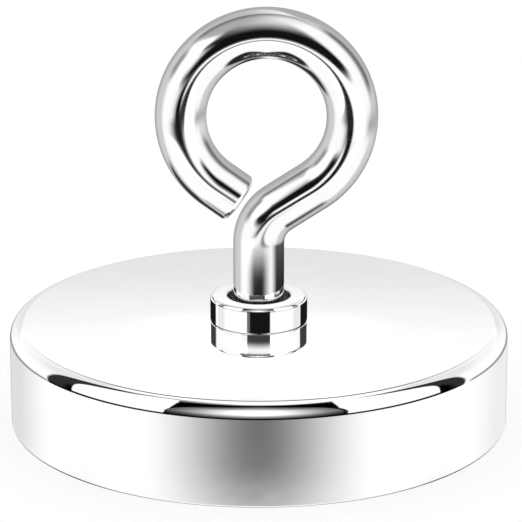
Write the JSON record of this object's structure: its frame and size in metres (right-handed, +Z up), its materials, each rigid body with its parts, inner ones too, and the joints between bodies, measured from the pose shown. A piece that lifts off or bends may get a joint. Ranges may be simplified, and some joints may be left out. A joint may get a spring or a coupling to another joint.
{
  "type": "fishing magnet",
  "caption": "Single-sided pot magnet for magnet fishing: a plated steel cup with a bonded ring magnet, clamped to an eyebolt whose open eye takes the rope.",
  "frame": {"origin": "centre of the pull face, on the bolt's axis, in the plane of the pot's rim", "axes": "+Z up the bolt, away from the pull face; the eye lies in the XZ plane, with its free end towards -X"},
  "size_m": [0.075, 0.075, 0.0633],
  "materials": {
    "pot_nickel": "bright nickel plate on turned steel",
    "magnet_nickel": "satin nickel plate on sintered magnet",
    "bond_epoxy": "amber structural epoxy",
    "potting_epoxy": "black potting resin",
    "lining_epoxy": "black potting resin",
    "eye_nickel": "bright nickel plate on bent steel rod",
    "collar_nickel": "bright nickel plate on turned steel",
    "locker_resin": "cured black thread locker",
    "washer_zinc": "bright zinc plate",
    "spring_zinc": "zinc plate on spring steel",
    "nut_zinc": "bright zinc plate"
  },
  "bodies": {
    "pot": {"pot_shell": "pot_nickel", "ring_magnet": "magnet_nickel", "magnet_bond": "bond_epoxy", "outer_potting": "potting_epoxy", "bore_lining": "lining_epoxy"},
    "eye": {"eyebolt": "eye_nickel", "round_collar": "collar_nickel", "thread_locker": "locker_resin"},
    "flat_washer": {"flat_washer": "washer_zinc"},
    "spring_washer": {"spring_washer": "spring_zinc"},
    "nut": {"hex_nut": "nut_zinc"}
  },
  "joints": [
    {"name": "eye_swivel", "type": "hinge", "parent": "pot", "child": "eye", "pos_m": [0, 0, 0.01525], "axis": [0, 0, 1], "continuous": true},
    {"name": "flat_washer_slide", "type": "slide", "parent": "eye", "child": "flat_washer", "axis": [0, 0, -1], "range_m": [0, 0.0076]},
    {"name": "spring_washer_slide", "type": "slide", "parent": "eye", "child": "spring_washer", "axis": [0, 0, -1], "range_m": [0, 0.0076]},
    {"name": "nut_turn", "type": "hinge", "parent": "spring_washer", "child": "nut", "pos_m": [0, 0, 0.004], "axis": [0, 0, -1], "range_deg": [0, 2160]}
  ],
  "couplings": [
    {"joint": "flat_washer_slide", "follows": "nut_turn", "m_per_rad": 0.00019894},
    {"joint": "spring_washer_slide", "follows": "nut_turn", "m_per_rad": 0.00019894}
  ]
}
